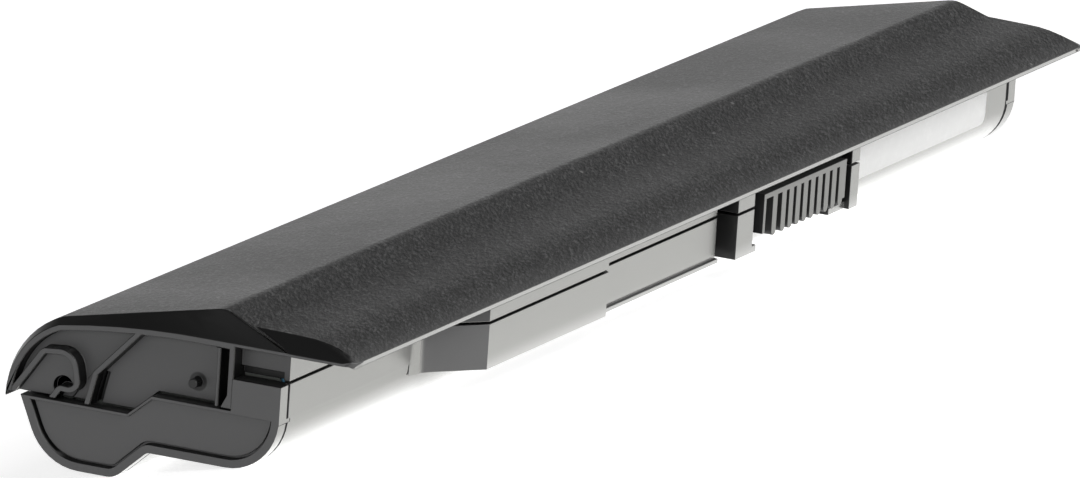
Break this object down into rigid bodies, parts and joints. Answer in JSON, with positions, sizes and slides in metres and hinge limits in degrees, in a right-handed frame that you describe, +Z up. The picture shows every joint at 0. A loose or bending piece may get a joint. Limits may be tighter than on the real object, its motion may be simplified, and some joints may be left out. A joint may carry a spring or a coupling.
{
  "type": "laptop battery",
  "caption": "Removable laptop battery pack: two rows of round cells in a lobed case under a stepped cover with a front ledge, a comb connector in its nose and a hook at each end.",
  "frame": {"origin": "centre of the box's base, on the surface that the pack stands on with its two lobes", "axes": "+X along the pack from its near end to its far end, +Y from the connector to the rear lip, +Z up"},
  "size_m": [0.271, 0.0604, 0.0245],
  "materials": {
    "cover_plastic": "black, fine spark-eroded grain",
    "case_plastic": "black, smooth semi-gloss",
    "connector_plastic": "black glass-filled, satin",
    "label_film": "white film, satin",
    "cell_sleeve": "shrunk sleeve, glossy",
    "nickel": "rolled strip, satin",
    "contact_metal": "gold flash over copper alloy",
    "board_laminate": "solder mask, satin",
    "chip_plastic": "moulded epoxy, matte",
    "resistor_metal": "tinned ends, satin",
    "ceramic": "ceramic, satin",
    "black_insulation": "soft, satin",
    "red_insulation": "soft, satin",
    "white_insulation": "soft, satin",
    "card": "fish paper, matte",
    "foam": "closed-cell foam, matte"
  },
  "bodies": {
    "root": {"top_cover": "cover_plastic", "lower_case": "case_plastic", "connector_housing": "connector_plastic", "contact_1": "contact_metal", "contact_2": "contact_metal", "contact_3": "contact_metal", "contact_4": "contact_metal", "contact_5": "contact_metal", "contact_6": "contact_metal", "contact_7": "contact_metal", "contact_8": "contact_metal", "contact_9": "contact_metal", "protection_board": "board_laminate", "gauge_chip": "chip_plastic", "protector_chip": "chip_plastic", "charge_transistor": "chip_plastic", "discharge_transistor": "chip_plastic", "sense_resistor": "resistor_metal", "board_fuse": "ceramic", "board_capacitors": "ceramic", "cell_1": "cell_sleeve", "cell_2": "cell_sleeve", "cell_3": "cell_sleeve", "cell_4": "cell_sleeve", "cell_5": "cell_sleeve", "cell_6": "cell_sleeve", "negative_lead": "black_insulation", "sense_lead": "white_insulation", "positive_lead": "red_insulation", "thermistor": "black_insulation", "negative_strip": "nickel", "series_strip": "nickel", "bay_strip_near": "nickel", "bay_strip_far": "nickel", "thermal_cutoff": "chip_plastic", "positive_strip": "nickel", "end_card_near": "card", "end_card_far": "card", "cell_pad_1": "foam", "cell_pad_2": "foam", "cell_pad_3": "foam", "cell_pad_4": "foam", "cell_pad_5": "foam", "cell_pad_6": "foam", "side_label": "label_film"}
  },
  "joints": []
}
